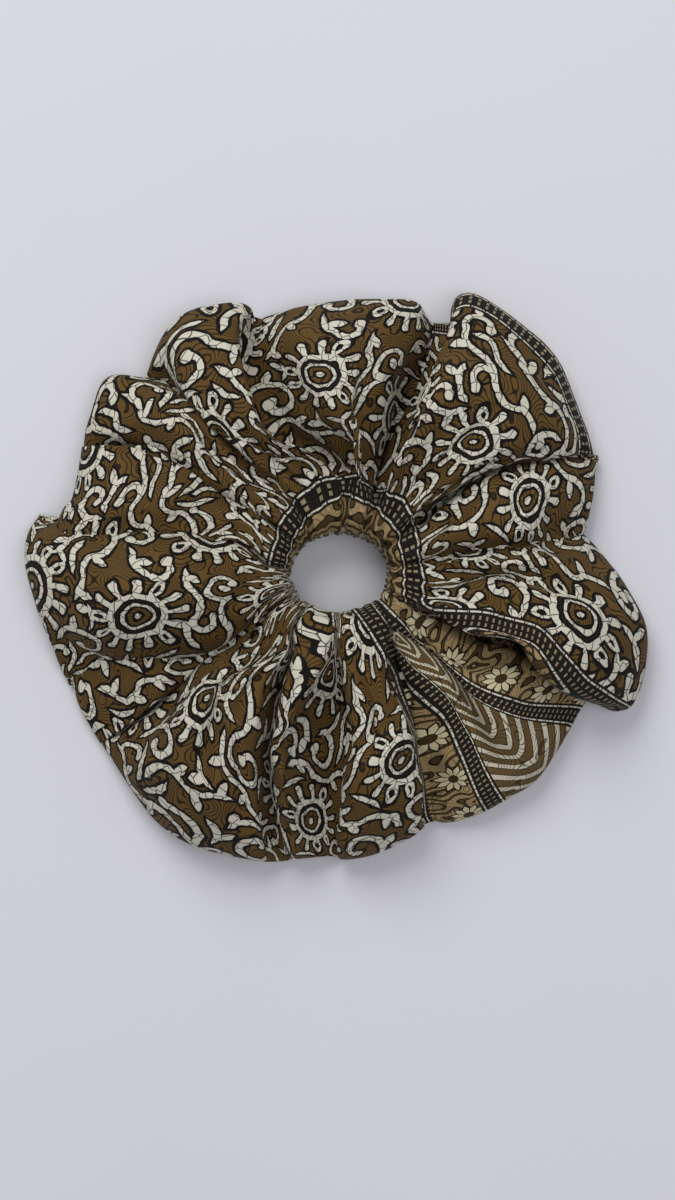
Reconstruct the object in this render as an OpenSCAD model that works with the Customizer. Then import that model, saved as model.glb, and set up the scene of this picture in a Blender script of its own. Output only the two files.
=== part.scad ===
// Scrunchie: a wide tube of printed cloth gathered on a short ring of flat elastic.
// The cloth tube is drawn as twelve puffed gathers, one solid each, that meet at the
// creases. A channel round the hair hole carries the elastic and the long seam's thread.
// Origin: middle of the outline, on the surface the scrunchie lies on. +Z is up.

/* [Hair hole] */
// Hair hole, width along X (mm)
hole_w = 27; // [20:0.5:40]
// Hair hole, depth along Y (mm)
hole_d = 21.6; // [16:0.5:40]
// Hair hole centre, X (mm)
hole_x = 1.5; // [-5:0.5:5]
// Hair hole centre, Y (mm)
hole_y = 1; // [-5:0.5:5]

/* [Elastic] */
// Radius of the elastic ring's middle at rest (mm)
elastic_r = 23; // [18:0.5:30]
// Width of the flat elastic, which stands on edge (mm)
elastic_w = 7; // [4:0.5:12]
// Thickness of the elastic (mm)
elastic_t = 1; // [0.6:0.1:2]
// Length of the sewn lap of the elastic's ends, along the ring (mm)
elastic_lap = 10; // [6:0.5:20]
// Height of the elastic's middle above the table (mm)
elastic_z = 12; // [8:0.5:16]

/* [Thread] */
// Thread diameter (mm)
thread_d = 0.5; // [0.3:0.05:1]
// Number of stitches in the closing row
closing_count = 7; // [4:1:12]
// Length of one closing stitch (mm)
closing_stitch = 2.4; // [1.5:0.1:4]
// Pitch of the closing stitches (mm)
closing_pitch = 3.4; // [2.5:0.1:5]

/* [Cloth sleeve] */
// Gap between neighbouring gathers at a crease (mm)
crease_gap = 0.4; // [0.2:0.1:2]
// Share of a gather's half height that its middle stands above the table
sit = 0.92; // [0.85:0.01:1]
// Roundness of a gather, in facets per turn
gather_facets = 26; // [16:2:32]

/* [Hidden] */

cloth = [0.42, 0.35, 0.24];
elastic_white = [0.88, 0.87, 0.83];
thread_brown = [0.25, 0.19, 0.12];

hole_c = [hole_x, hole_y];
channel_in = elastic_r - elastic_t / 2 - 1.6;   // inner wall of the elastic's channel
channel_out = elastic_r + elastic_t / 2 + 1.8;  // outer wall, clear of the sewn lap
channel_h = elastic_w + 2;
seam_r = channel_in + 0.6;
lap_deg = elastic_lap / (elastic_r + elastic_t) * 180 / PI;
far_out = 1.35;      // how far past the outline a crease line is drawn
tall = 60;           // taller than any gather

// Crease lines in plan, from the elastic out to the outline (mm)
crease_top = [[2.7, 28.5], [-2.1, 36], [-11.8, 41], [-17, 51], [-22.9, 66], [-20, 79]];
crease_upper_right = [[11.3, 22.5], [11.3, 28.5], [15, 38.5], [22.4, 52], [26.5, 63], [27, 81]];
crease_right_peak = [[28.6, 18.8], [43.2, 37], [57, 56], [66, 68]];
crease_right = [[28.6, 4.8], [52, 9], [71, 12.5]];
crease_border_start = [[21.2, -9.4], [32.3, -14.3], [49.4, -16], [64.3, -29], [77, -36]];
crease_border_end = [[12.7, -10.5], [27, -35], [48.3, -69.5]];
crease_bottom = [[4.4, -22.8], [3, -35], [0.6, -52], [-1.6, -67], [-3, -83]];
crease_closing = [[1.6, -22.8], [-2.1, -35], [-3.6, -52], [-4.4, -67], [-4.8, -83]];
crease_bottom_left = [[-10.7, -10.5], [-10.7, -20.5], [-15.5, -30.2], [-17, -45], [-17, -57], [-17, -83]];
crease_roll_low = [[-11.8, -8.3], [-22.9, -12], [-34, -16.8], [-41.5, -20.5], [-58.6, -21.7], [-78, -24.8]];
crease_roll_high = [[-17, 2.9], [-25.5, 10], [-36, 11], [-58.6, 9.7], [-88, 11.4]];
crease_left_ear = [[-21, 20], [-40, 29.9], [-46.3, 34], [-56, 36.5], [-73.4, 37.3]];
crease_top_left = [[-21.8, 28.5], [-26.6, 35], [-39, 50.7], [-46.3, 56.7], [-55, 59]];

// A soft round lump, flattened where it lies on the table
module lump(at, spread, half_height) {
    translate([at[0], at[1], half_height * sit])
        scale([spread, spread, half_height]) sphere(r = 1, $fn = gather_facets);
}

// The floor plan between two creases, drawn from the hair hole's middle
module between(first, last) {
    a = first[len(first) - 1];
    b = last[len(last) - 1];
    outline = concat([hole_c], first, [a * far_out], [b * far_out],
                     [for (i = [len(last) - 1:-1:0]) last[i]]);
    offset(delta = -crease_gap / 2) polygon(outline);
}

module hair_hole() {
    translate([hole_x, hole_y, -1])
        scale([hole_w / 2, hole_d / 2, 1]) cylinder(r = 1, h = tall, $fn = 48);
}

module elastic_channel() {
    translate([hole_x, hole_y, elastic_z - channel_h / 2])
        rotate_extrude($fn = 72) translate([channel_in, 0])
            square([channel_out - channel_in, channel_h]);
}

// One puffed gather of the cloth tube; lumps = [[x, y], spread, half height]
module gather(first, last, lumps) {
    color(cloth) difference() {
        intersection() {
            hull() for (l = lumps) lump(l[0], l[1], l[2]);
            linear_extrude(tall) between(first, last);
        }
        hair_hole();
        elastic_channel();
    }
}

module gather_top() {
    gather(crease_upper_right, crease_top,
        [[[5, 24], 13, 13], [[0, 50], 20, 20], [[-9, 67], 13, 14], [[7, 66], 15.5, 16], [[17, 73], 9, 12]]);
}
module gather_top_right() {
    gather(crease_right_peak, crease_upper_right,
        [[[19, 18], 13, 13], [[33, 47], 17, 18.5], [[38, 73.4], 10, 13], [[47, 62], 10.6, 13], [[57, 57], 8, 11]]);
}
module gather_right() {
    gather(crease_right, crease_right_peak,
        [[[26, 11], 12, 13], [[48, 28], 19, 19.5], [[60, 48], 11, 14], [[63, 30], 12.8, 14], [[61, 17], 10.5, 13]]);
}
module gather_right_lower() {
    gather(crease_border_start, crease_right,
        [[[25, -4], 13, 13], [[50, -6], 18, 20], [[66, 1], 11, 13], [[70, -3], 11.5, 14], [[79.6, -23.5], 11.5, 12],
         [[83, -28], 7.5, 9]]);
}
module gather_border_panel() {
    gather(crease_border_end, crease_border_start,
        [[[19, -14], 12, 13], [[42, -33], 18, 18], [[60, -42], 10.5, 13], [[51, -56], 10.4, 12]]);
}
module gather_bottom() {
    gather(crease_bottom, crease_border_end,
        [[[8, -19], 13, 13], [[16, -45], 17, 17.5], [[4, -71], 12, 12], [[12, -69], 12, 13], [[29, -62.5], 9.8, 12]]);
}
module gather_bottom_tuck() {
    gather(crease_bottom_left, crease_closing,
        [[[-5, -20], 12, 13], [[-9, -45], 10, 16], [[-10.6, -71], 12.4, 12]]);
}
module gather_bottom_left() {
    gather(crease_roll_low, crease_bottom_left,
        [[[-14, -14], 10, 12], [[-36, -43], 20, 19.5], [[-28, -69], 14, 14], [[-46, -63], 12.4, 13],
         [[-54, -50], 11, 13], [[-64, -35], 11.5, 12]]);
}
module gather_left_roll() {
    gather(crease_roll_high, crease_roll_low,
        [[[-19, -3], 12, 13], [[-42, -5], 15, 20], [[-68, -6], 13, 17], [[-79.2, 2.5], 12, 14], [[-74, -14], 10, 12]]);
}
module gather_left_upper() {
    gather(crease_left_ear, crease_roll_high,
        [[[-19, 12], 12, 13], [[-45, 21], 14, 16], [[-65, 26], 10, 14], [[-74, 19], 9.4, 11]]);
}
module gather_left_ear() {
    gather(crease_top_left, crease_left_ear,
        [[[-16, 20], 10, 12], [[-40, 41], 13, 15], [[-60, 48], 11, 13], [[-62.5, 54], 8.4, 9]]);
}
module gather_top_left() {
    gather(crease_top, crease_top_left,
        [[[-7, 24], 13, 13], [[-22, 49], 17, 18.5], [[-36, 66], 10.4, 13], [[-33, 69], 10.4, 13], [[-25, 71], 10, 12]]);
}

// Flat woven elastic standing on edge, its ends lapped on the left
module elastic_band() {
    color(elastic_white) translate([hole_x, hole_y, elastic_z - elastic_w / 2]) {
        rotate_extrude($fn = 96) translate([elastic_r - elastic_t / 2, 0]) square([elastic_t, elastic_w]);
        rotate([0, 0, 180 - lap_deg / 2]) rotate_extrude(angle = lap_deg, $fn = 96)
            translate([elastic_r + elastic_t / 2 - 0.01, 0]) square([elastic_t, elastic_w]);
    }
}

// Two bar tacks of slanting stitches that go through both layers of the lap
module elastic_stitches() {
    tack_count = 5;
    tack_rise = elastic_w / (tack_count + 1);
    through = 2 * elastic_t + 0.6;
    color(thread_brown) translate([hole_x, hole_y, elastic_z - elastic_w / 2])
        for (side = [-1, 1], k = [1:tack_count])
            rotate([0, 0, 180 + side * lap_deg * 0.32])
                translate([elastic_r - elastic_t / 2 - 0.3, 0, k * tack_rise])
                    rotate([0, 90, 0]) cylinder(d = thread_d, h = through, $fn = 16);
}

// Thread of the long seam that closes the strip into a tube, turned to the inside
module seam_thread() {
    color(thread_brown) translate([hole_x, hole_y, elastic_z])
        rotate_extrude($fn = 96) translate([seam_r, 0]) circle(d = thread_d, $fn = 16);
}

// Stitches where one end of the tube is tucked into the other, in the deep bottom crease
module closing_stitches() {
    row_y = -45;
    row_x = -3.15;
    row_z = 4.5;
    color(thread_brown) for (k = [0:closing_count - 1])
        translate([row_x, row_y, row_z + k * closing_pitch]) cylinder(d = thread_d, h = closing_stitch, $fn = 16);
}

gather_top();
gather_top_right();
gather_right();
gather_right_lower();
gather_border_panel();
gather_bottom();
gather_bottom_tuck();
gather_bottom_left();
gather_left_roll();
gather_left_upper();
gather_left_ear();
gather_top_left();
elastic_band();
elastic_stitches();
seam_thread();
closing_stitches();
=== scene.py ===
# An oversized scrunchie: a wide tube of printed crepe gathered on a hidden ring of flat elastic.
import math

import bmesh
import bpy
import numpy as np
from mathutils import Matrix, Vector, noise


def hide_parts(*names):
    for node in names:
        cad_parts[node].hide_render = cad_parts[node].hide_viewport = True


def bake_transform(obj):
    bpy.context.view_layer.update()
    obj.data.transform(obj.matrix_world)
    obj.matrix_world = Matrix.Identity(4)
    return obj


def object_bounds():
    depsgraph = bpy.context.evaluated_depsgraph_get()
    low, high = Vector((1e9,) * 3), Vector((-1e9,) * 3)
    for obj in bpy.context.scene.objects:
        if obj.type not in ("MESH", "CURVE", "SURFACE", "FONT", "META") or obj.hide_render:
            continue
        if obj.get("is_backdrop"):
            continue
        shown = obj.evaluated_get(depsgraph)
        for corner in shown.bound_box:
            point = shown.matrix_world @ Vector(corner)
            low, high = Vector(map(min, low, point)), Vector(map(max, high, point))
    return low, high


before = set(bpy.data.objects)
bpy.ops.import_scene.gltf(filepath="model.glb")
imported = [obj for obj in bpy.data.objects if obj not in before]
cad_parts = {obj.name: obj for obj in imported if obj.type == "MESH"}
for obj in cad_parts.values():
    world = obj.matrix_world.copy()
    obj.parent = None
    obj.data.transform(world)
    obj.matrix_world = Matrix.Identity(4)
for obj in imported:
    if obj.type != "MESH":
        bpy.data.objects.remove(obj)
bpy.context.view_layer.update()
MM = 0.001

# ---------------------------------------------------------------------------------------------
# Camera, table and light: the scrunchie lies on a plain pale table and is seen from straight
# above, under the broad soft light of a window and a white ceiling.


def linear(code):
    """A colour written as six sRGB hex digits, as linear red, green, blue and alpha."""
    parts = [int(code[k:k + 2], 16) / 255 for k in (0, 2, 4)]
    low = [p / 12.92 if p <= 0.04045 else ((p + 0.055) / 1.055) ** 2.4 for p in parts]
    return (*low, 1.0)


def add_node(tree, kind, inputs=(), **settings):
    """One shader node with its settings; inputs are values or sockets by name or number."""
    made = tree.nodes.new(kind)
    for name, value in settings.items():
        setattr(made, name, value)
    for key, value in dict(inputs).items():
        if isinstance(value, bpy.types.NodeSocket):
            tree.links.new(value, made.inputs[key])
        else:
            made.inputs[key].default_value = value
    return made


def new_material(name):
    material = bpy.data.materials.new(name)
    material.use_nodes = True
    material.node_tree.nodes.clear()
    return material, material.node_tree


def add_object(name, data):
    """An object with this data, linked to the scene."""
    made = bpy.data.objects.new(name, data)
    bpy.context.scene.collection.objects.link(made)
    return made


def add_shape(name, shape):
    """An object made from a finished bmesh, which is freed."""
    mesh = bpy.data.meshes.new(name)
    shape.to_mesh(mesh)
    shape.free()
    return add_object(name, mesh)


VIEW_PLANE = 0.014      # height of the plane whose size sets the camera's distance (m)
VIEW_LENGTH = 0.342     # how much of that plane the frame's longer side takes in (m)
LENS = 85.0
SENSOR = 36.0
camera_data = bpy.data.cameras.new("camera")
camera_data.lens = LENS
camera_data.sensor_width = SENSOR
camera_data.dof.use_dof = False
camera = add_object("camera", camera_data)
camera.location = (0.0009, -0.0066, VIEW_PLANE + VIEW_LENGTH * LENS / SENSOR)
bpy.context.scene.camera = camera
bpy.context.scene.view_settings.view_transform = "Standard"

TABLE_TOP = -0.0002     # a hair below the scrunchie, so that the two never share a surface (m)
table_shape = bmesh.new()
bmesh.ops.create_grid(table_shape, x_segments=1, y_segments=1, size=3.0)
bmesh.ops.translate(table_shape, vec=(0, 0, TABLE_TOP), verts=table_shape.verts)
table = add_shape("table", table_shape)
table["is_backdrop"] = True
# A matt, pale grey table top, faintly uneven in tone.
table_material, tree = new_material("pale_table")
where = add_node(tree, "ShaderNodeTexCoord").outputs["Object"]
mottle = add_node(tree, "ShaderNodeTexNoise", {"Vector": where, "Scale": 6.0, "Detail": 3.0})
tint = add_node(tree, "ShaderNodeMix", {"Factor": mottle.outputs["Fac"], "A": linear("D3D4D8"),
                                        "B": linear("D8D9DD")}, data_type="RGBA")
tint_out = [s for s in tint.outputs if s.type == "RGBA"][0]
surface = add_node(tree, "ShaderNodeBsdfPrincipled", {"Base Color": tint_out, "Roughness": 0.75})
add_node(tree, "ShaderNodeOutputMaterial", {"Surface": surface.outputs[0]})
table.data.materials.append(table_material)

world = bpy.data.worlds.new("room")
world.use_nodes = True
bpy.context.scene.world = world
world.node_tree.nodes["Background"].inputs["Color"].default_value = linear("FAF8FF")
world.node_tree.nodes["Background"].inputs["Strength"].default_value = 0.38


def soft_lamp(name, place, size, power, colour):
    """A round lamp aimed at the scrunchie; sizes in metres, power in watts."""
    data = bpy.data.lights.new(name, "AREA")
    data.shape = "DISK"
    data.size = size
    data.energy = power
    data.color = linear(colour)[:3]
    lamp = add_object(name, data)
    lamp.location = place
    lamp.rotation_mode = "QUATERNION"
    lamp.rotation_quaternion = (-Vector(place)).to_track_quat("-Z", "Y")


soft_lamp("window", (-0.45, 1.0, 1.15), 1.0, 14.5, "FFFFFF")
soft_lamp("ceiling", (0.5, -0.2, 1.6), 1.2, 7.0, "FAF9FF")

# ---------------------------------------------------------------------------------------------
# Cloth sleeve: one long strip of printed crepe sewn into a tube and pushed up on the elastic, so
# that it falls into thirteen puffed gathers. It is wrapped from a flat grid: the rows run round
# the tube, the columns along the strip, and the columns crowd into the folds between gathers.
HOLE_CENTRE = np.array([1.5, 1.0])      # the hair hole: its centre and half its size (mm)
HOLE_HALF = np.array([13.3, 10.6])
ELASTIC_RADIUS = 23.0
ROWS = 50
COLUMNS_PER_MM = 0.27
SIDES = 26              # cloth in a gather's two sides, on top of its length along the rim (mm)
CUFF_LOW = 26           # height of the cloth over the elastic in the folds and on the gathers (mm)
CUFF_HIGH = 30
CLEARANCE = 0.25        # least height of the cloth above z = 0 (mm)

# A fold between two gathers: its angle at the hair hole (degrees), its line in plan from the
# elastic out to the rim (mm), the height of its bottom near the cuff and near the rim (mm), and
# how far the gather before (+) or after (-) it, going anticlockwise, hangs over it (mm).
FOLDS = {
    "right_low": (8, [(28.6, 4.8), (52, 8), (66, 11), (71, 11.8)], 24, 24, 0),
    "right_high": (34, [(29, 19.5), (38, 26.5), (47, 28), (56, 31), (66, 34), (76, 32.4)], 9, 26, -3),
    "peak": (62, [(11.5, 24), (11.3, 28.5), (15, 38.5), (22.4, 52), (27, 63), (30.5, 75.5)], 9, 9, 4),
    "top": (88, [(2.7, 28.5), (-2.1, 36), (-11.8, 41), (-17, 51), (-22.9, 65), (-20.5, 77.5)], 11, 8, -3),
    "top_left": (122, [(-20.5, 28.5), (-26.6, 35), (-39, 50.7), (-46.3, 56), (-54.5, 58.2)], 22, 20, 0),
    "ear": (142, [(-24, 21.5), (-40, 29.9), (-47, 34.5), (-56, 37), (-73.2, 37.6)], 9, 4, -6),
    "roll_high": (174, [(-23, 7), (-29, 11.4), (-40, 11.4), (-58.6, 9.7), (-72, 10.3), (-87.6, 11.8)],
                  6, 5, 6),
    "roll_low": (200, [(-22.9, -12), (-34, -16.8), (-41.5, -20), (-58.6, -21.7), (-79.8, -25)], 8, 4, -7),
    "under": (207, [(-22.5, -14), (-34, -19.5), (-43, -25), (-52, -34), (-62, -43.5), (-69.5, -47.5)],
              10, 8, 3),
    "tuck": (230, [(-10.7, -20.5), (-15.5, -30.2), (-17.5, -45), (-17.5, -57), (-17, -83)], 10, 7, 0),
    "closing": (268, [(0.4, -22.8), (-1.5, -35), (-3.2, -52), (-4, -67), (-4.6, -82.4)], 4, 3, 0),
    "border": (312, [(15, -18), (20.5, -31), (23, -43), (27.2, -57.3), (29.5, -72)], 12, 8, 2),
    "right_fold": (334, [(22, -9.4), (32.3, -14.3), (49, -17.5), (64.3, -30.2), (76.5, -35.3)], 8, 5, -5),
}
# The gathers, anticlockwise: the folds on either side, the rim in plan between them (mm) and the
# height of the crown (mm).
GATHERS = [
    ("right_low", "right_high", [(72, 15.5), (74.5, 23.7)], 33),
    ("right_high", "peak", [(75.1, 39.6), (70.3, 50.7), (62.8, 62.4), (54.3, 69.8), (46.9, 78.4),
                            (40.3, 83.3), (36.1, 80.1), (33.5, 75.1)], 36),
    ("peak", "top", [(27.2, 78.4), (25, 81.5), (11.3, 81.5), (0.4, 81.2), (-9.5, 79.8)], 36),
    ("top", "top_left", [(-22.9, 80.1), (-27.8, 81.5), (-34.1, 79.5), (-42.6, 74.1), (-50, 64.6)], 34),
    ("top_left", "ear", [(-58.6, 59), (-64.4, 62.2), (-67.7, 59.3), (-70.8, 50.7), (-73, 43)], 31),
    ("ear", "roll_high", [(-73.8, 33), (-75, 28), (-78.2, 22.5), (-83, 16.2)], 27),
    ("roll_high", "roll_low", [(-90.6, 8), (-91, 5), (-89.4, -3.1), (-83.1, -18)], 37),
    ("roll_low", "under", [(-77.5, -29), (-74.6, -36)], 22),
    ("under", "tuck", [(-67.5, -51), (-62.3, -57.3), (-54.9, -65.8), (-46.3, -75.3), (-37.8, -80.5),
                       (-26.6, -82.4)], 37),
    ("tuck", "closing", [(-10.7, -82.2)], 32),
    ("closing", "border", [(-3, -82.8), (9, -80.7), (20, -76.2)], 33),
    ("border", "right_fold", [(34.6, -72.3), (43.2, -69.5), (52, -64.5), (58.6, -62.5), (64.3, -53.6),
                              (70.3, -42.5)], 28),
    ("right_fold", "right_low", [(85, -36), (89.9, -35), (91, -26.5), (88.8, -15.7), (81.4, -3.1),
                                 (75.7, 7)], 36),
]
# The tube's outline on a cut from the hair hole to the rim: share of the way out, share of the
# crown's height. It starts at the hole's wall, dips at the elastic and comes back along the table.
TUBE_CUT = [(0.0, 0.42), (0.03, 0.60), (0.085, 0.70), (0.15, 0.66), (0.24, 0.80), (0.38, 0.95), (0.54, 1.0),
            (0.70, 0.90), (0.83, 0.72), (0.925, 0.52), (0.985, 0.34), (1.0, 0.26), (0.985, 0.17),
            (0.94, 0.07), (0.85, 0.0), (0.65, 0.0), (0.45, 0.0), (0.25, 0.0), (0.12, 0.02), (0.04, 0.10),
            (0.005, 0.24)]
# How wide the bottom of a fold stands open (mm).
FOLD_GAP = {"closing": 15, "peak": 9, "top": 5, "tuck": 5, "ear": 4, "right_fold": 3, "border": 5}
# The gathers on which the printed border runs round the cuff, with how far up the cloth from the
# hole's wall its ladder band lies at either side of the gather (mm).
CUFF_BAND = {0: (11, 12), 1: (12, 15), 2: (15, 16), 3: (16, 11), 4: (11, 8), 5: (8, 5), 12: (12, 11)}
# The gathers where the border crosses the strip: lines on the cloth at a known distance from the
# border's middle (mm), each given as distance from the hole's centre (mm) and angle (degrees).
CROSSING = {
    10: [(-41.5, [(30, -54), (42, -58.5), (52, -61.5), (60, -64), (75, -67.5)])],
    11: [(-17, [(30, -53), (80, -55.5)]), (17, [(30, -46), (50, -41.2), (66, -36.5), (80, -31)])],
    12: [(41.5, [(25, -30), (40, -22), (57, -19.5), (66, -23.3), (76, -26), (88, -26.5)])],
}


def smooth_line(points, samples, closed=False, rounds=2):
    """Points resampled evenly along a line whose corners have been cut off."""
    line = np.array(points, float)
    for _ in range(rounds):
        after = np.roll(line, -1, axis=0) if closed else line[1:]
        before = line if closed else line[:-1]
        cut = np.stack([0.75 * before + 0.25 * after, 0.25 * before + 0.75 * after], 1)
        cut = cut.reshape(-1, line.shape[1])
        line = cut if closed else np.vstack([line[:1], cut, line[-1:]])
    if closed:
        line = np.vstack([line, line[:1]])
    steps = np.linalg.norm(np.diff(line, axis=0), axis=1)
    run = np.concatenate([[0], np.cumsum(steps)]) / steps.sum()
    wanted = np.linspace(0, 1, samples, endpoint=not closed)
    return np.stack([np.interp(wanted, run, line[:, k]) for k in range(line.shape[1])], 1)


def smoothstep(low, high, x):
    t = np.clip((x - low) / (high - low), 0, 1)
    return t * t * (3 - 2 * t)


def hole_point(angle):
    a = math.radians(angle)
    return HOLE_CENTRE + HOLE_HALF * np.array([math.cos(a), math.sin(a)])


def left_of(line):
    """Unit vectors to the left of a line in plan, one for each of its points."""
    way = np.gradient(line, axis=0)
    return np.stack([-way[:, 1], way[:, 0]], 1) / (np.linalg.norm(way, axis=1)[:, None] + 1e-9)


def fold_wall(fold, over):
    """How a gather rises from a fold: a low power is steep, a high one runs in flat underneath."""
    if over < 0:
        return 1.5
    return 0.3 if fold in FOLD_GAP else 0.5


# The cut is smoothed at about its true proportions, which are 9 to 4.
cut = smooth_line([(9 * r, 4 * z) for r, z in TUBE_CUT], ROWS, closed=True) / (9, 4)
cut_out, cut_up = cut[:, 0], cut[:, 1]
STATIONS = 60           # points along a fold's line, from the hole's wall to the rim
RIM_STEPS = 120
station = np.linspace(0, 1, STATIONS)
fold_lines = {}
for name, (angle, line, *_) in FOLDS.items():
    a = math.radians(angle)
    elastic_point = HOLE_CENTRE + ELASTIC_RADIUS * np.array([math.cos(a), 0.93 * math.sin(a)])
    fold_lines[name] = smooth_line([hole_point(angle), elastic_point, *line], STATIONS)

columns = []            # one entry per column: its points round the tube (mm)
column_gather = []
column_across = []
for g, (first, last, rim, crown) in enumerate(GATHERS):
    a_line, b_line = fold_lines[first], fold_lines[last]
    rim_line = smooth_line([a_line[-1], *rim, b_line[-1]], RIM_STEPS + 1, rounds=1)
    rim_length = np.linalg.norm(np.diff(rim_line, axis=0), axis=1).sum()
    count = max(8, int(round((rim_length + SIDES) * COLUMNS_PER_MM)))
    a_in, a_out, a_over = FOLDS[first][2:]
    b_in, b_out, b_over = FOLDS[last][2:]
    # Positive: this gather hangs over the fold. Negative: it runs under its neighbour there.
    over_a, over_b = -a_over, b_over
    a_side, b_side = left_of(a_line), left_of(b_line)
    a_wall, b_wall = fold_wall(first, over_a), fold_wall(last, over_b)
    lean = smoothstep(0.12, 0.4, station)[:, None]
    a_foot = a_line + a_side * (over_a + FOLD_GAP.get(first, 0) / 2) * lean
    b_foot = b_line - b_side * (over_b + FOLD_GAP.get(last, 0) / 2) * lean
    for m in range(count):
        phi = m / count
        across = (1 - math.cos(math.pi * phi)) / 2
        rise = math.sin(math.pi * phi) ** (a_wall if phi < 0.5 else b_wall)
        line = a_foot * (1 - across) + b_foot * across
        # The rim bows out between the folds.
        straight = a_line[-1] * (1 - across) + b_line[-1] * across
        bow = rim_line[int(round(across * RIM_STEPS))] - straight
        line = line + bow * (station ** 2)[:, None]
        # A gather that hangs over a fold bulges past it.
        if over_a > 0:
            line = line - a_side * (2.0 * over_a * math.sin(math.pi * min(phi / 0.45, 1)) * lean)
        if over_b > 0:
            line = line + b_side * (2.0 * over_b * math.sin(math.pi * min((1 - phi) / 0.45, 1)) * lean)
        depth_a = a_in + (a_out - a_in) * station
        depth_b = b_in + (b_out - b_in) * station
        floor_here = depth_a * (1 - across) + depth_b * across
        pinch = smoothstep(0.1, 0.34, station)
        low = CUFF_LOW * (1 - pinch) + floor_here * pinch
        high = CUFF_HIGH * (1 - pinch) + crown * pinch
        top = low + (high - low) * rise
        out = np.stack([np.interp(cut_out, station, line[:, k]) for k in (0, 1)], 1)
        top_here = np.interp(cut_out, station, top)
        z = cut_up * top_here
        columns.append(np.column_stack([out, z]))
        column_gather.append(g)
        column_across.append(across)
shape = np.array(columns)            # columns x rows x 3, in mm
column_across = np.array(column_across)
column_gather = np.array(column_gather)
COLUMNS = len(columns)
base = shape.copy()                  # without pleats and creases; the print is measured on it

# Tight pleats where the elastic holds the cloth; some run out over the gathers as soft folds.
PLEAT_DEPTH = 3.0
PLEAT_EVERY = 13        # degrees round the hair hole
along = np.roll(shape, -1, 0) - np.roll(shape, 1, 0)
down = np.roll(shape, -1, 1) - np.roll(shape, 1, 1)
outward = np.cross(along, down)
outward /= np.linalg.norm(outward, axis=2)[:, :, None] + 1e-9
if (outward[:, ROWS // 4, 2]).mean() < 0:
    outward = -outward
rng = np.random.default_rng(7)
for g, (first, last, *_) in enumerate(GATHERS):
    mine = column_gather == g
    span = (FOLDS[last][0] - FOLDS[first][0]) % 360
    pleats = max(1, round(span / PLEAT_EVERY))
    x = column_across[mine]
    wave = np.zeros((mine.sum(), ROWS))
    for p in range(pleats):
        middle = (p + 0.5 + rng.uniform(-0.2, 0.2)) / pleats
        width = rng.uniform(0.28, 0.4) / pleats
        reach = rng.uniform(0.26, 0.62)
        ridge = np.exp(-((x - middle) / width) ** 2)
        fade = 1 - smoothstep(0.1, reach, cut_out)
        wave += rng.uniform(0.8, 1.2) * ridge[:, None] * fade[None, :]
    wave *= (0.35 + 0.65 * smoothstep(0.0, 0.1, cut_out))[None, :]
    edge = np.sin(math.pi * x) ** 0.5
    at_cuff = (1 - smoothstep(0.1, 0.3, cut_out))[None, :]
    shape[mine] += outward[mine] * (PLEAT_DEPTH * (wave - 0.45 * at_cuff) * edge[:, None])[:, :, None]
# Longer creases run from the cuff towards the rim, sharp in the valley and round on the ridge.
CREASE_EVERY = 13       # mm along the rim
for g in range(len(GATHERS)):
    mine = column_gather == g
    x = column_across[mine]
    width_mm = mine.sum() / COLUMNS_PER_MM - SIDES
    count = int(width_mm // CREASE_EVERY)
    for p in range(count):
        middle = (p + 1 + rng.uniform(-0.25, 0.25)) / (count + 1)
        reach = rng.uniform(0.55, 1.05)
        depth = rng.uniform(3.0, 6.0)
        drift_out = rng.uniform(-0.12, 0.12)
        gap = np.abs(x[:, None] - middle - drift_out * cut_out[None, :]) * max(width_mm, 20) / 6.0
        valley = np.exp(-gap) * (1 - smoothstep(reach - 0.3, reach, cut_out))[None, :]
        valley = valley * smoothstep(0.1, 0.3, cut_out)[None, :] * (cut_up > 0.3)[None, :]
        shape[mine] -= outward[mine] * (depth * valley)[:, :, None]
# The cloth is nowhere quite flat: broad soft dents, a little deeper towards the rim.
DENT_SIZE = 26.0
for c in range(COLUMNS):
    for r in range(ROWS):
        at = Vector(shape[c, r]) / DENT_SIZE
        swell = noise.noise(at) * 1.6 + noise.noise(at * 2.3) * 0.8
        shape[c, r] += outward[c, r] * swell * smoothstep(0.15, 0.5, cut_out[r])
shape[:, :, 2] = np.maximum(shape[:, :, 2], CLEARANCE)

# The print lies flat on the strip: u along it and t across it, in mm, measured on the wrapped shape,
# u three quarters of the way out. Each gather takes its own stretch of the printed cloth.
TILE = np.array([132.0, 92.0])      # one repeat of the print (mm)
# The printed suns: place on the tile (mm), turn (radians) and how much longer than wide.
SUNS = [(16, 20, 0.3, 1.22), (64, 12, 1.9, 1.05), (108, 31, 4.0, 1.25), (40, 58, 5.2, 1.1),
        (86, 62, 2.6, 1.18)]
PRINT_SCALE = 0.88
wide_row = int(np.argmin(np.abs(cut_out[:ROWS // 2] - 0.74)))
step_u = np.linalg.norm(np.roll(base, -1, 0)[:, wide_row] - base[:, wide_row], axis=1)
crowns = base[[int(np.flatnonzero(column_gather == g).mean()) for g in range(len(GATHERS))]]
step_t = np.linalg.norm(np.roll(crowns, -1, 1) - crowns, axis=2).mean(0)
cloth_t = np.concatenate([[0], np.cumsum(step_t)])
top_rows = np.flatnonzero(cut_up[:ROWS * 6 // 10] > 0.25)


def nearest_on_top(g, point):
    """The column (in the gather) and the row of the gather's upper side nearest a point in plan."""
    mine = np.flatnonzero(column_gather == g)
    gap = np.linalg.norm(base[mine][:, top_rows, :2] - np.array(point), axis=2)
    c, r = np.unravel_index(np.argmin(gap), gap.shape)
    return int(c), int(top_rows[r])


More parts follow.
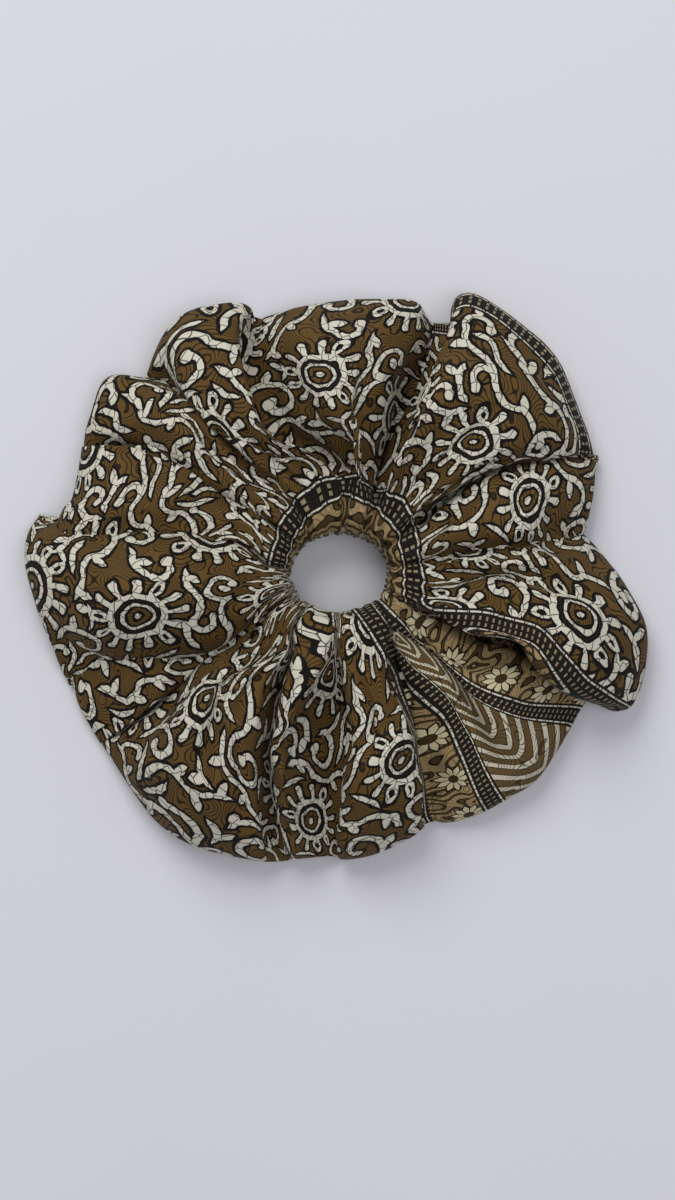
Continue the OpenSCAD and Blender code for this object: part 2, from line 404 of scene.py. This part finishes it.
# Where a printed sun lies on each gather (mm, in plan), and which sun of the print it is.
SUN_ON_GATHER = {0: ((53.7, 20), 1), 1: ((38.3, 35), 4), 2: ((-7.6, 56), 0), 3: ((-28, 40), 3),
                 4: ((-52, 66), 2), 5: ((-70, 3), 4), 6: ((-86, -3), 2), 7: ((-52, -8), 1),
                 8: ((-34, -32), 0), 9: ((-15, -41), 3), 10: ((20, -49), 1), 11: ((80, -70), 2),
                 12: ((67.5, -14.5), 4)}
BAND_MIDDLE = 41.5     # from the middle of the border to the middle of its outer ladder band (mm)
NO_BORDER = 200.0
CUFF_CROWDING = 0.25   # how much of the border's length shows between the pleats at the cuff
RIM_BAND_GATHER = 1    # the gather with a ladder band along its rim as well,
RIM_BAND_INSET = 6.5   # and how far inside the rim it lies (mm)
face_print = np.zeros((COLUMNS, ROWS, 2, 2, 2))     # column, row, next column?, next row?, (x, y)
face_border = np.zeros((COLUMNS, ROWS, 2, 2, 2))
for g in range(len(GATHERS)):
    mine = np.flatnonzero(column_gather == g)
    u = np.concatenate([[0], np.cumsum(step_u[mine])])
    sun_at, sun_number = SUN_ON_GATHER[g]
    c, r = nearest_on_top(g, sun_at)
    facing = math.atan2(sun_at[1] - HOLE_CENTRE[1], sun_at[0] - HOLE_CENTRE[0]) - math.pi / 2
    turn = np.array([[math.cos(facing), -math.sin(facing)], [math.sin(facing), math.cos(facing)]])
    flat = np.stack(np.meshgrid(-(u - u[c]), cloth_t - cloth_t[r], indexing="ij"), -1)
    printed = flat @ turn.T + np.array(SUNS[sun_number][:2]) * PRINT_SCALE
    # The border: how far a point is from its middle, and how far along it.
    across = np.full(flat.shape[:2], NO_BORDER)
    length = np.repeat(u[:, None], len(cloth_t), 1)
    if g in CUFF_BAND:
        a_at, b_at = CUFF_BAND[g]
        share = np.linspace(0, 1, len(u))[:, None]
        across = np.minimum(across, BAND_MIDDLE + cloth_t[None, :] - (a_at * (1 - share) + b_at * share))
        wraps = BAND_MIDDLE + (cloth_t[-1] - cloth_t[None, :]) + 4
        across = np.minimum(across, np.maximum(wraps, 0))
        length = length * CUFF_CROWDING
    if g == RIM_BAND_GATHER:
        edge = cloth_t[int(np.argmax(cut_out))]
        rim_band = np.abs(BAND_MIDDLE - (cloth_t[None, :] - edge + RIM_BAND_INSET))
        length = np.where(rim_band < across, u[:, None], length)
        across = np.minimum(across, rim_band)
    if g in CROSSING:
        spots = base[np.append(mine, (mine[-1] + 1) % COLUMNS)][:, np.append(np.arange(ROWS), 0)]
        away = spots[..., :2] - HOLE_CENTRE
        reach = np.hypot(away[..., 0], away[..., 1])
        turned = np.degrees(np.arctan2(away[..., 1], away[..., 0]))
        lines = [(value, np.interp(reach, *np.array(line).T)) for value, line in CROSSING[g]]
        (low_value, low_turn), (high_value, high_turn) = lines[0], lines[-1]
        crossing = low_value + np.radians(np.minimum(turned - low_turn, 0)) * reach
        crossing = crossing + np.radians(np.maximum(turned - high_turn, 0)) * reach
        span = np.maximum(high_turn - low_turn, 1e-6)
        crossing = crossing + (high_value - low_value) * np.clip((turned - low_turn) / span, 0, 1)
        crossing = np.abs(crossing)
        length = np.where(crossing < across, cloth_t[None, :], length)
        across = np.minimum(across, crossing)
    border = np.stack([across, length], -1)
    for k, column in enumerate(mine):
        for side in (0, 1):
            for far in (0, 1):
                rows = slice(far, far + ROWS)
                face_print[column, :, side, far] = printed[k + side, rows]
                face_border[column, :, side, far] = border[k + side, rows]

sleeve_shape = bmesh.new()
bmesh.ops.create_grid(sleeve_shape, x_segments=COLUMNS, y_segments=ROWS, size=0.5)
print_map = sleeve_shape.loops.layers.uv.new("print")
border_map = sleeve_shape.loops.layers.uv.new("border")
spot = {}               # the column and row of each vertex of the flat grid
for vert in sleeve_shape.verts:
    spot[vert] = (int(round((vert.co.x + 0.5) * COLUMNS)), int(round((vert.co.y + 0.5) * ROWS)))
for face in sleeve_shape.faces:
    column = min(spot[v][0] for v in face.verts)
    row = min(spot[v][1] for v in face.verts)
    for loop in face.loops:
        side, far = spot[loop.vert][0] - column, spot[loop.vert][1] - row
        loop[print_map].uv = face_print[column, row, side, far] * MM
        loop[border_map].uv = face_border[column, row, side, far] * MM
for vert in sleeve_shape.verts:
    column, row = spot[vert]
    vert.co = Vector(shape[column % COLUMNS, row % ROWS]) * MM
bmesh.ops.remove_doubles(sleeve_shape, verts=sleeve_shape.verts, dist=1e-6)
bmesh.ops.recalc_face_normals(sleeve_shape, faces=sleeve_shape.faces)
sleeve = add_shape("cloth_sleeve", sleeve_shape)
sleeve_mesh = sleeve.data

# The gathers settle as cloth: a little more cloth than the shape has room for, air inside, the
# elastic's line held fast and the rest held only lightly, so that it buckles into its own folds.
SIM_SCALE = 10.0        # the solver works better on a larger piece, so it is settled ten times as large
SIM_FRAMES = 20
MOST_SETTLING = 8       # mm
REGATHER = 0.075
held = sleeve.vertex_groups.new(name="held")
for vert in sleeve_mesh.vertices:
    away = math.hypot(vert.co.x / MM - HOLE_CENTRE[0], vert.co.y / MM - HOLE_CENTRE[1])
    hold = 1.0 - float(smoothstep(20.0, 27.0, away)) * 0.96
    held.add([vert.index], hold, "REPLACE")
start = np.array([v.co for v in sleeve_mesh.vertices])
sleeve_mesh.transform(Matrix.Scale(SIM_SCALE, 4))
cloth = sleeve.modifiers.new("settle", "CLOTH")
cloth.settings.quality = 6
cloth.settings.mass = 0.15
cloth.settings.tension_stiffness = 25
cloth.settings.compression_stiffness = 8
cloth.settings.shear_stiffness = 8
cloth.settings.bending_stiffness = 0.08
cloth.settings.air_damping = 2
cloth.settings.vertex_group_mass = "held"
cloth.settings.pin_stiffness = 0.6
cloth.settings.shrink_min = -0.10
cloth.settings.use_pressure = True
cloth.settings.uniform_pressure_force = 0.25
cloth.settings.effector_weights.gravity = 0.25
cloth.collision_settings.use_collision = True
cloth.collision_settings.distance_min = 0.01
cloth.collision_settings.collision_quality = 3
stop = table.modifiers.new("stop", "COLLISION")
table.collision.thickness_outer = 0.004
cloth.point_cache.frame_start = 1
cloth.point_cache.frame_end = SIM_FRAMES
for step in range(1, SIM_FRAMES + 1):
    bpy.context.scene.frame_set(step)
settled = sleeve.evaluated_get(bpy.context.evaluated_depsgraph_get())
moved = np.array([v.co for v in settled.data.vertices]) / SIM_SCALE
sleeve.modifiers.remove(cloth)
table.modifiers.remove(stop)
bpy.context.scene.frame_set(1)
shift = moved - start
far = np.linalg.norm(shift, axis=1)
moved = start + shift * np.minimum(1, MOST_SETTLING * MM / (far + 1e-9))[:, None]
# The air has pushed the rims out a little; bring them back to the scrunchie's size.
out = moved[:, :2] - HOLE_CENTRE * MM
reach = np.linalg.norm(out, axis=1, keepdims=True) / MM
moved[:, :2] -= out * REGATHER * smoothstep(30, 85, reach)
moved[:, 2] = np.maximum(moved[:, 2], CLEARANCE * MM)
sleeve_mesh.vertices.foreach_set("co", moved.astype(np.float32).ravel())
sleeve_mesh.update()
sub = sleeve.modifiers.new("rounding", "SUBSURF")
sub.levels = sub.render_levels = 1
wall = sleeve.modifiers.new("cloth_thickness", "SOLIDIFY")
wall.thickness = 0.3 * MM
wall.offset = -1.0
for polygon in sleeve_mesh.polygons:
    polygon.use_smooth = True

# The print: on a brown ground, suns with ringed eyes, and between them ivory vines that grow in
# arcs with curled hooks, buds and leaves. It repeats over a tile; distances are in mm.
HALF_LINE = 0.98        # half the width of a vine
INK = 0.95              # width of the black outline
SUN_REACH = 15.4        # how far a sun's rays reach from its middle


def gap_to(points, others):
    d = np.abs(points[:, None, :] - others[None, :, :]) % TILE
    d = np.minimum(d, TILE - d)
    return np.sqrt(d[..., 0] ** 2 + d[..., 1] ** 2)


grower = np.random.default_rng(11)
drawn = []                      # each stroke: kind, then its sizes
inked = np.zeros((0, 2))        # points along every stroke so far
inked_by = np.zeros(0, int)
sun_places = np.array([s[:2] for s in SUNS], float)


def is_free(points, clear, joined):
    """True if a new stroke keeps clear of the suns and of every stroke it doesn't join."""
    if gap_to(points, sun_places).min() < SUN_REACH + 1.6:
        return False
    if not len(inked):
        return True
    others = ~np.isin(inked_by, list(joined))
    if others.any() and gap_to(points, inked[others]).min() < clear:
        return False
    beyond = points[np.linalg.norm(points - points[0], axis=1) > 4.2]
    if (~others).any() and len(beyond):
        return gap_to(beyond, inked[~others]).min() >= clear
    return True


def ink(points, *stroke):
    global inked, inked_by
    drawn.append(stroke)
    inked = np.vstack([inked, points])
    inked_by = np.concatenate([inked_by, np.full(len(points), len(drawn))])
    return len(drawn)


def grow_arc(start, heading, radius, sweep, clear, joined):
    """Draws an arc that leaves start along heading, if there is room, and returns its number,
    its points and its heading at the end."""
    side = 1 if sweep > 0 else -1
    middle = start + radius * side * np.array([-math.sin(heading), math.cos(heading)])
    first = heading - side * math.pi / 2
    angles = first + np.linspace(0, sweep, max(4, int(abs(sweep) * radius)))
    points = middle + radius * np.stack([np.cos(angles), np.sin(angles)], 1)
    if not is_free(points, clear, joined):
        return None
    return ink(points, "arc", middle, radius, first + sweep / 2, abs(sweep) / 2), points, heading + sweep


def grow_leaf(start, heading, length, half_width, clear, joined):
    """Draws a pointed leaf, if there is room."""
    tip = start + length * np.array([math.cos(heading), math.sin(heading)])
    points = start + (tip - start) * np.linspace(0, 1, 8)[:, None]
    if is_free(points, clear, joined):
        return ink(points, "leaf", start, tip, half_width)
    return None


def grow_hook(start, heading, joined, side, large):
    """A curl that ends in a bud."""
    for _ in range(24):
        radius = grower.uniform(5.2, 7.0) if large else grower.uniform(3.2, 4.8)
        sweep = side * (grower.uniform(2.6, 3.4) if large else grower.uniform(3.0, 4.3))
        got = grow_arc(start, heading + side * grower.uniform(-0.9, 0.1), radius, sweep, 2.9, joined)
        if got is None:
            continue
        number, points, end = got
        for _ in range(16 if large else 0):
            inner = grow_arc(points[-1], end, radius * grower.uniform(0.55, 0.7),
                             side * grower.uniform(1.6, 2.6), 2.8, {number} | joined)
            if inner:
                number, points, end = inner
                break
        drawn.append(("bud", points[-1], grower.uniform(1.4, 1.9)))
        return True
    return False


def heading_at(points, k):
    before, after = points[max(k - 1, 0)], points[min(k + 1, len(points) - 1)]
    return math.atan2(after[1] - before[1], after[0] - before[0])


for _ in range(500):
    if sum(stroke[0] == "arc" for stroke in drawn) > 100:
        break
    point = grower.uniform(0, 1, 2) * TILE
    heading = grower.uniform(0, 2 * math.pi)
    side = int(grower.choice([-1, 1]))
    stem = []
    joined = set()
    for part in range(4):
        for _ in range(40):
            wander = grower.uniform(-0.15, 0.15) if part else grower.uniform(0, 6.28)
            got = grow_arc(point, heading + wander, grower.uniform(5.5, 11),
                           side * grower.uniform(1.0, 2.4), 3.1, joined)
            if got:
                break
        if not got:
            break
        stem.append((*got, side))
        joined, point, heading, side = {got[0]}, got[1][-1], got[2], -side
    if not stem:
        continue
    number, points, end, side = stem[0]
    grow_hook(points[0], heading_at(points[::-1], len(points) - 1) + math.pi, {number},
              int(grower.choice([-1, 1])), True)
    for k, (number, points, end, side) in enumerate(stem):
        last_part = k + 1 == len(stem)
        near = {number} if last_part else {number, stem[k + 1][0]}
        grow_hook(points[-1], end, near, side if last_part else -side, grower.uniform() < 0.5)
        half = len(points) // 2
        grow_hook(points[half], heading_at(points, half), {number},
                  side if grower.uniform() < 0.3 else -side, grower.uniform() < 0.3)
        for _ in range(6):
            q = int(grower.integers(1, len(points) - 1))
            lean = int(grower.choice([-1, 1])) * grower.uniform(0.6, 1.3)
            if grow_leaf(points[q], heading_at(points, q) + lean, grower.uniform(5, 7.5),
                         grower.uniform(1.2, 1.7), 2.9, near):
                break
for _ in range(700):
    if sum(stroke[0] == "leaf" for stroke in drawn) > 44:
        break
    grow_leaf(grower.uniform(0, 1, 2) * TILE, grower.uniform(0, 6.28), grower.uniform(4.5, 7.5),
              grower.uniform(1.2, 1.8), 3.4, set())

# Printed crepe: thin matt cloth of crinkled yarn, printed in black and browns over ivory.
cloth_material, tree = new_material("printed_crepe")


def maths(operation, *values, clamp=False):
    made = add_node(tree, "ShaderNodeMath", enumerate(values), operation=operation, use_clamp=clamp)
    return made.outputs[0]


def vectors(operation, *values, result="Vector", **named):
    inputs = {**dict(enumerate(values)), **named}
    return add_node(tree, "ShaderNodeVectorMath", inputs, operation=operation).outputs[result]


def blend_colours(share, first, second):
    made = add_node(tree, "ShaderNodeMix", {0: share, 6: first, 7: second}, data_type="RGBA")
    return made.outputs[2]


def between_values(x, low, high):
    """1 where x lies from low to high, else 0."""
    return maths("COMPARE", x, (low + high) / 2, (high - low) / 2)


cloth_uv = add_node(tree, "ShaderNodeUVMap", uv_map="print").outputs[0]
border_uv = add_node(tree, "ShaderNodeUVMap", uv_map="border").outputs[0]
true_mm = vectors("SCALE", cloth_uv, Scale=1000.0)
wander = add_node(tree, "ShaderNodeTexNoise", {"Vector": true_mm, "Scale": 0.16, "Detail": 2.0})
drift = vectors("SCALE", vectors("SUBTRACT", wander.outputs["Color"], (0.5, 0.5, 0.5)), Scale=3.2)
at = vectors("ADD", true_mm, drift)
at = vectors("MULTIPLY", at, (1 / PRINT_SCALE, 1 / PRINT_SCALE, 0))


def nearest_copy(middle):
    """The place on the cloth, as seen from the nearest repeat of a motif."""
    m = np.array([*middle, 0.0])
    half = np.array([*(TILE / 2), 10.0])
    return vectors("WRAP", at, tuple(m + half), tuple(m - half))


shape_gap = 9.0         # distance to the nearest ivory shape, at most 9; negative inside it
for stroke in drawn:
    if stroke[0] == "arc":
        _, middle, radius, heading, half = stroke
        here = nearest_copy(middle)
        reach = vectors("DISTANCE", here, (*middle, 0), result="Value")
        ring = maths("ABSOLUTE", maths("SUBTRACT", reach, radius))
        toward = np.array([math.cos(heading), math.sin(heading)])
        side = vectors("DOT_PRODUCT", here, (*-toward, 0), result="Value")
        cut_at = radius * math.cos(half) + float(middle @ toward) + HALF_LINE
        gap = maths("SUBTRACT", maths("MAXIMUM", ring, maths("ADD", side, cut_at)), HALF_LINE)
    elif stroke[0] == "bud":
        _, middle, radius = stroke
        reach = vectors("DISTANCE", nearest_copy(middle), (*middle, 0), result="Value")
        gap = maths("SUBTRACT", reach, radius)
    else:
        _, start, tip, width = stroke
        middle = (start + tip) / 2
        length = np.linalg.norm(tip - start)
        normal = np.array([start[1] - tip[1], tip[0] - start[0]]) / length
        radius = (length ** 2 / 4 + width ** 2) / (2 * width)
        offset = normal * (radius - width)
        here = nearest_copy(middle)
        one_side = vectors("DISTANCE", here, (*(middle + offset), 0), result="Value")
        other_side = vectors("DISTANCE", here, (*(middle - offset), 0), result="Value")
        gap = maths("SUBTRACT", maths("MAXIMUM", one_side, other_side), radius)
    shape_gap = maths("MINIMUM", shape_gap, gap)
# A sun: a dot, two rings and thirteen rays, every fourth of which is an open loop.
RAYS = 13
RAY_START = 8.0
RAY_END = 13.4
LOOP_AT = 12.2
EYE_RINGS = [(4.8, 0.55), (8.3, 1.0)]       # radius and half the width (mm)
for x, y, turn, egg in SUNS:
    here = vectors("SUBTRACT", nearest_copy((x, y)), (x, y, 0))
    local = add_node(tree, "ShaderNodeMapping", {"Vector": here, "Rotation": (0, 0, turn),
                                                 "Scale": (egg, 1, 1)}, vector_type="TEXTURE").outputs[0]
    reach = vectors("LENGTH", local, result="Value")
    parts = add_node(tree, "ShaderNodeSeparateXYZ", {0: local})
    ray = maths("MULTIPLY", maths("ARCTAN2", parts.outputs[1], parts.outputs[0]), RAYS / (2 * math.pi))
    beside = maths("MULTIPLY", maths("SUBTRACT", maths("FRACT", ray), 0.5), 2 * math.pi / RAYS)
    beside = maths("MULTIPLY", beside, reach)
    past_end = maths("MAXIMUM", maths("SUBTRACT", reach, RAY_END), 0.0)
    plain_ray = maths("SQRT", maths("ADD", maths("MULTIPLY", past_end, past_end),
                                    maths("MULTIPLY", beside, beside)))
    plain_ray = maths("SUBTRACT", plain_ray, maths("MULTIPLY_ADD", reach, 0.13, -0.5))
    loop_x = maths("MULTIPLY", maths("SUBTRACT", reach, LOOP_AT), 0.55)
    loop = maths("SQRT", maths("ADD", maths("MULTIPLY", loop_x, loop_x), maths("MULTIPLY", beside, beside)))
    loop = maths("SUBTRACT", maths("ABSOLUTE", maths("SUBTRACT", loop, 1.35)), 0.5)
    looped = maths("COMPARE", maths("FLOORED_MODULO", maths("FLOOR", ray), 4.0), 1.0, 0.1)
    rays = add_node(tree, "ShaderNodeMix", {0: looped, 2: plain_ray, 3: loop}, data_type="FLOAT").outputs[0]
    rays = maths("MAXIMUM", rays, maths("SUBTRACT", RAY_START, reach))
    eye = maths("SUBTRACT", reach, 1.1)
    for radius, half in EYE_RINGS:
        off_ring = maths("ABSOLUTE", maths("SUBTRACT", reach, radius))
        eye = maths("MINIMUM", eye, maths("SUBTRACT", off_ring, half))
    shape_gap = maths("MINIMUM", shape_gap, maths("MINIMUM", eye, rays))

# Crackle: fine dark lines flow over the ground and cut across the ivory.
flow = add_node(tree, "ShaderNodeTexNoise", {"Vector": true_mm, "Scale": 0.055, "Detail": 1.5,
                                             "Roughness": 0.4})
flow = maths("FRACT", maths("MULTIPLY", flow.outputs["Fac"], 40.0))
flow_line = between_values(flow, 0.0, 0.27)
crack = add_node(tree, "ShaderNodeTexVoronoi", {"Vector": at, "Scale": 0.3, "Randomness": 1.0},
                 feature="DISTANCE_TO_EDGE", voronoi_dimensions="2D")
crack_line = maths("LESS_THAN", crack.outputs["Distance"], 0.05)
mottle = add_node(tree, "ShaderNodeTexNoise", {"Vector": true_mm, "Scale": 0.35, "Detail": 4.0})
ground = blend_colours(mottle.outputs["Fac"], linear("58421C"), linear("684F24"))
ground = blend_colours(maths("MULTIPLY", flow_line, 0.9), ground, linear("150E05"))
ivory = blend_colours(mottle.outputs["Fac"], linear("C0BDA8"), linear("E0DDCC"))
ivory = blend_colours(maths("MULTIPLY", crack_line, 0.85), ivory, linear("1A150C"))
inside = maths("LESS_THAN", shape_gap, 0.0)
outline = maths("LESS_THAN", shape_gap, INK)
main_print = blend_colours(outline, ground, linear("060402"))
main_print = blend_colours(inside, main_print, ivory)

# The border: ladder bands with dashed ivory edges, a tan field with daisies, and chevrons. All are
# laid out by the distance from the border's middle and the length along it (mm).
CHEVRON_HALF = 13.4
INNER_BAND = 17.0
DAISY_ROW = 24.5
DAISY_HALF_GAP = 8.5
BAND_HALF = 3.6
RUNG_EVERY = 1.9
DASH_EVERY = 3.4
CHEVRON_EVERY = 5.6
edge_parts = add_node(tree, "ShaderNodeSeparateXYZ", {0: vectors("SCALE", border_uv, Scale=1000.0)})
across = maths("ABSOLUTE", edge_parts.outputs[0])
length = edge_parts.outputs[1]
in_border = maths("LESS_THAN", across, BAND_MIDDLE + BAND_HALF)
ladder_x = maths("MINIMUM", maths("ABSOLUTE", maths("SUBTRACT", across, BAND_MIDDLE)),
                 maths("ABSOLUTE", maths("SUBTRACT", across, INNER_BAND)))
rung = maths("LESS_THAN", maths("FRACT", maths("MULTIPLY", length, 1 / RUNG_EVERY)), 0.30)
dash = maths("GREATER_THAN", maths("FRACT", maths("MULTIPLY", length, 1 / DASH_EVERY)), 0.12)
band = blend_colours(maths("MULTIPLY", rung, between_values(ladder_x, 0.35, 1.5)), linear("15110A"),
                     linear("8E8468"))
band = blend_colours(maths("MULTIPLY", dash, between_values(ladder_x, 2.4, 2.9)), band, ivory)
zig = maths("FRACT", maths("MULTIPLY_ADD", length, 1 / CHEVRON_EVERY, maths("MULTIPLY", across, 0.14)))
chevrons = blend_colours(between_values(zig, 0.0, 0.50), linear("66522F"), linear("1E160A"))
chevrons = blend_colours(between_values(zig, 0.06, 0.44), chevrons, linear("CFC8B0"))
chevrons = blend_colours(maths("MULTIPLY", flow_line, 0.7), chevrons, linear("2A1E0E"))
field_uv = vectors("MULTIPLY", vectors("SCALE", border_uv, Scale=1000.0), (1, 1, 0))
daisy_cell = vectors("WRAP", vectors("SUBTRACT", field_uv, (DAISY_ROW, 0, 0)), (100, DAISY_HALF_GAP, 1),
                     (-100, -DAISY_HALF_GAP, -1))
daisy_parts = add_node(tree, "ShaderNodeSeparateXYZ", {0: daisy_cell})
daisy_x = maths("ABSOLUTE", maths("ADD", daisy_parts.outputs[0], DAISY_ROW))
daisy_x = maths("SUBTRACT", daisy_x, DAISY_ROW)
daisy_y = daisy_parts.outputs[1]
daisy_reach = maths("SQRT", maths("ADD", maths("MULTIPLY", daisy_x, daisy_x),
                                  maths("MULTIPLY", daisy_y, daisy_y)))
PETALS = 10
petal = maths("MULTIPLY", maths("ARCTAN2", daisy_y, daisy_x), PETALS / (2 * math.pi))
petal = maths("ABSOLUTE", maths("SUBTRACT", maths("FRACT", petal), 0.5))
petal_edge = maths("SUBTRACT", daisy_reach, maths("MULTIPLY_ADD", petal, -3.6, 4.9))
tan_noise = add_node(tree, "ShaderNodeTexNoise", {"Vector": field_uv, "Scale": 0.16, "Detail": 0.0})
curl = maths("FRACT", maths("MULTIPLY", tan_noise.outputs["Fac"], 5.0))
tan_field = blend_colours(maths("MULTIPLY", flow_line, 0.55), linear("A08A60"), linear("2A1E0C"))
tan_field = blend_colours(between_values(curl, 0.0, 0.42), tan_field, linear("120D06"))
tan_field = blend_colours(between_values(curl, 0.12, 0.30), tan_field, linear("4A3A1D"))
tan_field = blend_colours(maths("LESS_THAN", petal_edge, 0.7), tan_field, linear("0A0704"))
petal_fill = maths("MULTIPLY", maths("LESS_THAN", petal_edge, 0.0), maths("LESS_THAN", petal, 0.41))
tan_field = blend_colours(petal_fill, tan_field, linear("C8BD99"))
tan_field = blend_colours(maths("LESS_THAN", daisy_reach, 1.6), tan_field, linear("3A2A14"))
border_print = blend_colours(maths("LESS_THAN", across, CHEVRON_HALF), tan_field, chevrons)
border_print = blend_colours(maths("LESS_THAN", ladder_x, BAND_HALF), border_print, band)
cloth_colour = blend_colours(in_border, main_print, border_print)
# The weave breaks the print's colours up a little.
grain = add_node(tree, "ShaderNodeTexNoise", {"Vector": true_mm, "Scale": 1.7, "Detail": 2.0,
                                              "Roughness": 0.8})
grain = maths("MULTIPLY_ADD", grain.outputs["Fac"], 1.5, -0.55, clamp=True)
cloth_colour = blend_colours(maths("MULTIPLY", grain, 0.45), cloth_colour, linear("1C1406"))

# Crepe: fine crinkles in the weave, longer one way than the other.
crepe = add_node(tree, "ShaderNodeTexNoise", {"Vector": vectors("MULTIPLY", true_mm, (1.6, 0.55, 1)),
                                              "Scale": 1.3, "Detail": 3.0, "Roughness": 0.6})
relief = add_node(tree, "ShaderNodeBump", {"Height": crepe.outputs["Fac"], "Strength": 0.35,
                                           "Distance": 0.0004})
rough = maths("MULTIPLY_ADD", crepe.outputs["Fac"], 0.2, 0.7)
surface = add_node(tree, "ShaderNodeBsdfPrincipled",
                   {"Base Color": cloth_colour, "Roughness": rough, "IOR": 1.5, "Specular IOR Level": 0.2,
                    "Sheen Weight": 0.03, "Sheen Roughness": 0.4, "Normal": relief.outputs[0]})
add_node(tree, "ShaderNodeOutputMaterial", {"Surface": surface.outputs[0]})
sleeve_mesh.materials.append(cloth_material)
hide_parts(*[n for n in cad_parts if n.startswith("gather_")])
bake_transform(sleeve)

# ---------------------------------------------------------------------------------------------
# Elastic: a flat ring of woven elastic, 7 mm wide, lapped and sewn at the left. It runs inside the
# sleeve round the hair hole and holds the gathers; none of it shows.
ELASTIC_WIDTH = 7.0         # all in mm; the middle is its height above the table
ELASTIC_MIDDLE = 12.0
ELASTIC_THICKNESS = 1.0
BAND_STEPS = 4
RIBS = 140
CORD_EVERY = 0.9
band_shape = bmesh.new()
bmesh.ops.create_circle(band_shape, segments=180, radius=(ELASTIC_RADIUS + ELASTIC_THICKNESS / 2) * MM)
bmesh.ops.translate(band_shape, vec=(0, 0, (ELASTIC_MIDDLE - ELASTIC_WIDTH / 2) * MM), verts=band_shape.verts)
rim_edges = band_shape.edges[:]
for _ in range(BAND_STEPS):
    grown = bmesh.ops.extrude_edge_only(band_shape, edges=rim_edges)["geom"]
    rim_edges = [e for e in grown if isinstance(e, bmesh.types.BMEdge)]
    new_verts = [v for v in grown if isinstance(v, bmesh.types.BMVert)]
    rim_edges = [e for e in rim_edges if e.verts[0] in new_verts and e.verts[1] in new_verts]
    bmesh.ops.translate(band_shape, vec=(0, 0, ELASTIC_WIDTH / BAND_STEPS * MM), verts=new_verts)
bmesh.ops.recalc_face_normals(band_shape, faces=band_shape.faces)
bmesh.ops.solidify(band_shape, geom=band_shape.faces[:], thickness=ELASTIC_THICKNESS * MM)
bmesh.ops.recalc_face_normals(band_shape, faces=band_shape.faces)
elastic = add_shape("elastic_ring", band_shape)
# Woven elastic: off-white polyester yarn over thin rubber cords, ribbed across its width.
elastic_material, tree = new_material("woven_elastic")
around = add_node(tree, "ShaderNodeTexCoord").outputs["Object"]
around_parts = add_node(tree, "ShaderNodeSeparateXYZ", {0: around})
angle = maths("ARCTAN2", around_parts.outputs[1], around_parts.outputs[0])
rib = maths("SINE", maths("MULTIPLY", angle, RIBS))
cord = maths("SINE", maths("MULTIPLY", around_parts.outputs[2], 2 * math.pi / (CORD_EVERY * MM)))
weave = maths("MULTIPLY_ADD", rib, 0.3, maths("MULTIPLY", cord, 0.5))
relief = add_node(tree, "ShaderNodeBump", {"Height": weave, "Strength": 0.5, "Distance": 0.0002})
tone = blend_colours(maths("MULTIPLY_ADD", weave, 0.4, 0.5, clamp=True), linear("D8D4CA"), linear("F2EFE6"))
surface = add_node(tree, "ShaderNodeBsdfPrincipled", {"Base Color": tone, "Roughness": 0.8, "IOR": 1.5,
                                                      "Normal": relief.outputs[0]})
add_node(tree, "ShaderNodeOutputMaterial", {"Surface": surface.outputs[0]})
elastic.data.materials.append(elastic_material)
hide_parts("elastic_band")
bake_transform(elastic)

# ---------------------------------------------------------------------------------------------
# Threads: brown polyester sewing thread. The long seam runs round inside the tube; bar tacks lock
# the elastic's lap; ladder stitches close the sleeve's ends in the fold at the bottom.
THREAD_RADIUS = 0.25
SEAM_RADIUS = 21.5
seam_shape = bmesh.new()
bmesh.ops.create_circle(seam_shape, segments=8, radius=THREAD_RADIUS * MM)
bmesh.ops.rotate(seam_shape, cent=(0, 0, 0), matrix=Matrix.Rotation(math.pi / 2, 3, "X"),
                 verts=seam_shape.verts)
bmesh.ops.translate(seam_shape, vec=(SEAM_RADIUS * MM, 0, ELASTIC_MIDDLE * MM), verts=seam_shape.verts)
bmesh.ops.spin(seam_shape, geom=seam_shape.verts[:] + seam_shape.edges[:], cent=(0, 0, 0), axis=(0, 0, 1),
               angle=2 * math.pi, steps=160, use_merge=True)
bmesh.ops.recalc_face_normals(seam_shape, faces=seam_shape.faces)
seam = add_shape("long_seam_thread", seam_shape)
for polygon in seam.data.polygons:
    polygon.use_smooth = True
# Sewing thread: dark brown spun polyester, two plies twisted together.
thread_material, tree = new_material("sewing_thread")
along_thread = add_node(tree, "ShaderNodeTexCoord").outputs["Object"]
twist = add_node(tree, "ShaderNodeTexWave", {"Vector": along_thread, "Scale": 1800.0, "Distortion": 0.6},
                 bands_direction="DIAGONAL")
relief = add_node(tree, "ShaderNodeBump", {"Height": twist.outputs["Fac"], "Strength": 0.4,
                                           "Distance": 0.0001})
tone = blend_colours(twist.outputs["Fac"], linear("3B2D17"), linear("54421F"))
surface = add_node(tree, "ShaderNodeBsdfPrincipled", {"Base Color": tone, "Roughness": 0.6, "IOR": 1.5,
                                                      "Normal": relief.outputs[0]})
add_node(tree, "ShaderNodeOutputMaterial", {"Surface": surface.outputs[0]})
seam.data.materials.append(thread_material)
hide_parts("seam_thread")
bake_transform(seam)
for name in ("elastic_stitches", "closing_stitches"):
    stitches = bpy.data.objects[name]
    stitches.data.materials.clear()
    stitches.data.materials.append(thread_material)

low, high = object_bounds()
